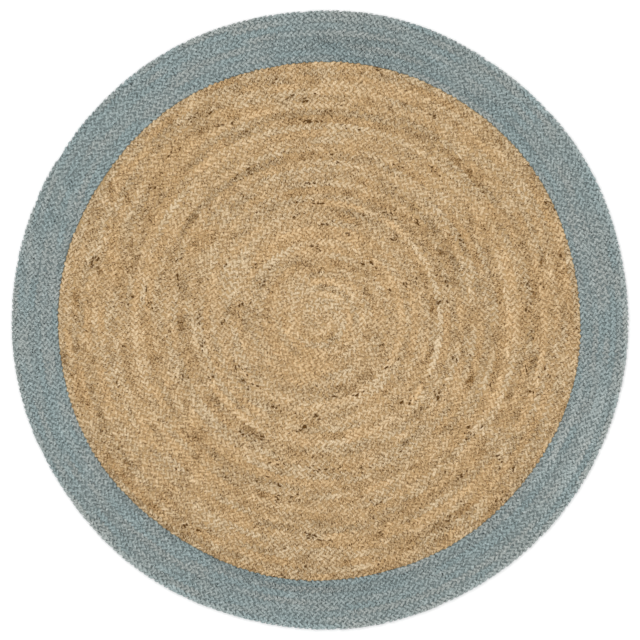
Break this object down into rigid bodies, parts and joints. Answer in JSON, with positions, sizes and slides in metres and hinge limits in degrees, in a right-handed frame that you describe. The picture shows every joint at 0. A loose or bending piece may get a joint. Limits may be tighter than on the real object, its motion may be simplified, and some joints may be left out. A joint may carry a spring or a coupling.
{
  "type": "round jute rug",
  "caption": "Flat round rug of natural jute braid wound in a spiral, with a wide blue-grey dyed jute border wound on round it and a soft rounded edge; it lies flat on a floor.",
  "frame": {"origin": "middle of the rug's outline box, on the underside, which lies on the floor", "axes": "+Z up through the rug's thickness; +X to the right and +Y up as the rug is seen from straight above in the picture"},
  "size_m": [1.1974, 1.2024, 0.0086],
  "materials": {
    "natural_jute": "coarse natural jute braid, matt, straw to brown with darker flecks",
    "dyed_jute": "coarse jute braid dyed blue-grey, matt, lighter and darker strands"
  },
  "bodies": {
    "root": {"natural_centre": "natural_jute", "dyed_border": "dyed_jute"}
  },
  "joints": []
}
